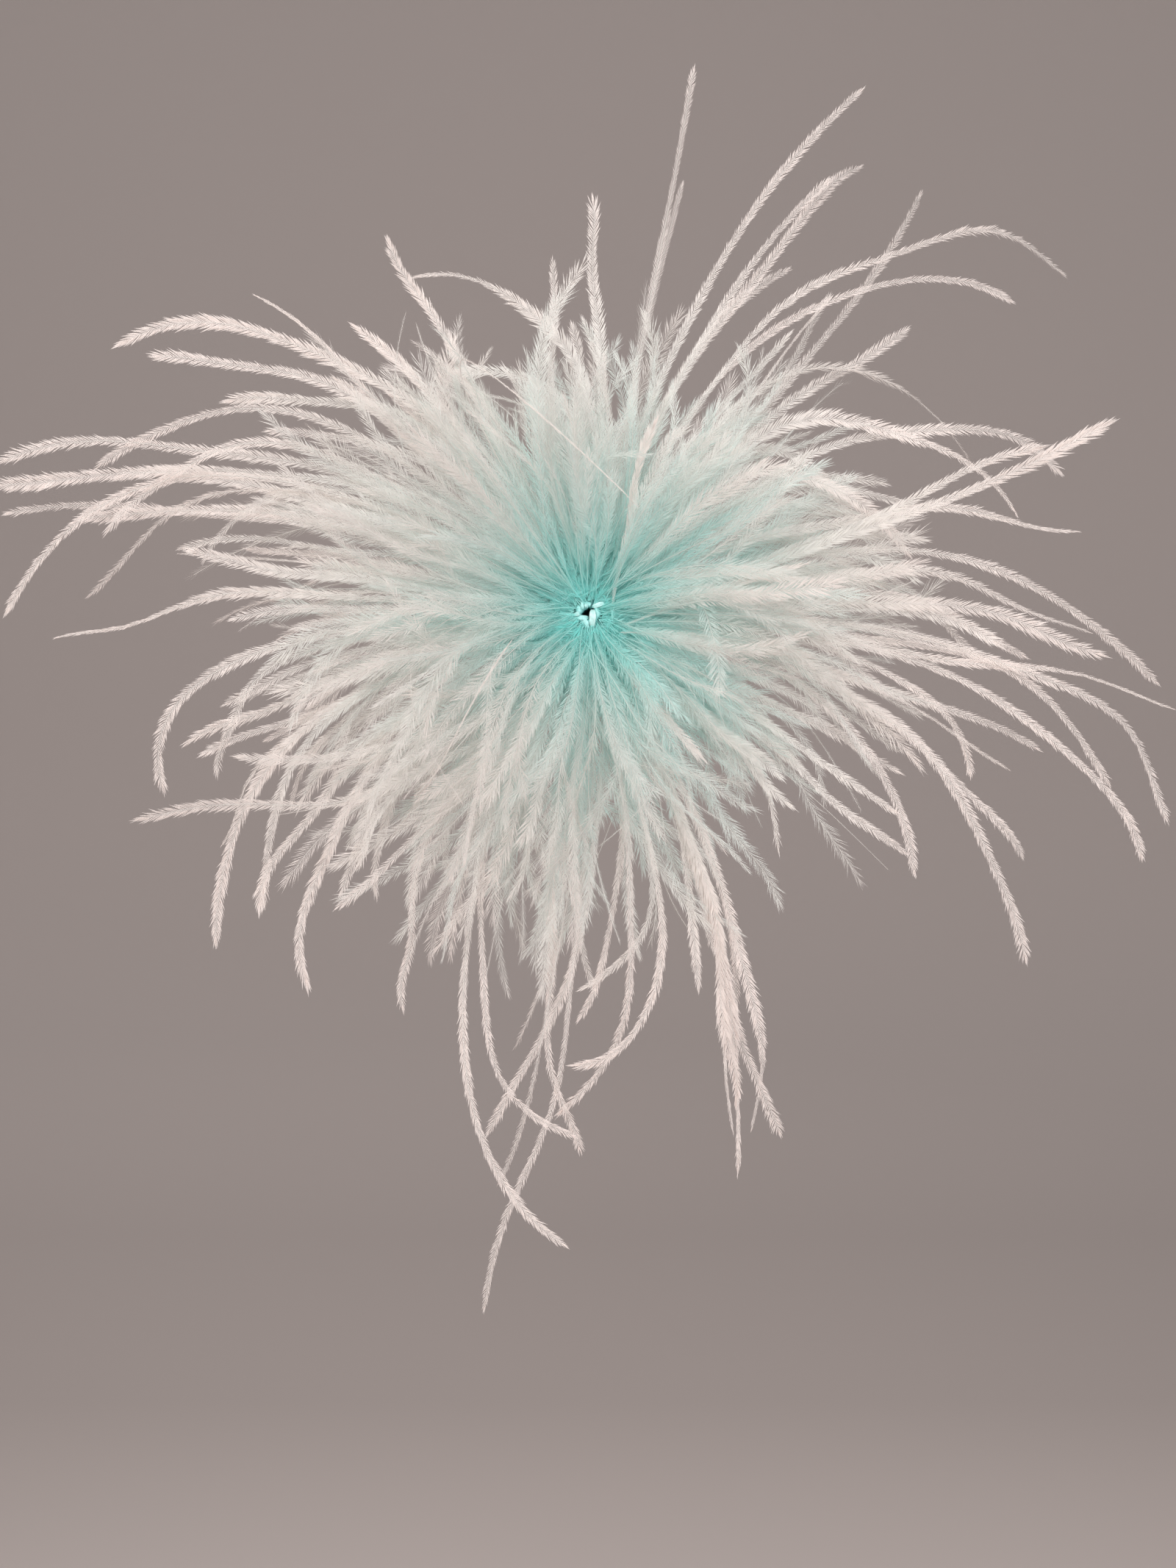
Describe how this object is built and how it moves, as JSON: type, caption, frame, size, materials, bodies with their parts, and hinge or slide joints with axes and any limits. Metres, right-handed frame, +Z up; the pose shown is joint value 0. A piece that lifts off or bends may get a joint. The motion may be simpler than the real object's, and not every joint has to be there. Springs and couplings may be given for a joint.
{
  "type": "feather fascinator",
  "caption": "Burst of pale mint ostrich feather tufts round a small quill knot, on a felt base with a hair clip, worn at the side of the head.",
  "frame": {"origin": "middle of the clip's back face, where the fascinator pins on at the side of the head", "axes": "+Z up as worn, +Y into the head, so the burst faces -Y; +X to the right as seen from the front"},
  "size_m": [0.329, 0.0679, 0.347],
  "materials": {
    "feather": "soft translucent ostrich barbs, mint at the root and near white at the tips",
    "quill": "folded pale aqua quill ends",
    "felt": "matt wool felt",
    "clip_steel": "satin spring steel"
  },
  "bodies": {
    "root": {"tuft_right": "feather", "tuft_upper_right": "feather", "tuft_top": "feather", "tuft_upper_left": "feather", "tuft_left": "feather", "tuft_lower_left": "feather", "tuft_bottom": "feather", "tuft_lower_right": "feather", "centre_knot": "quill", "felt_base": "felt", "hair_clip": "clip_steel"}
  },
  "joints": []
}
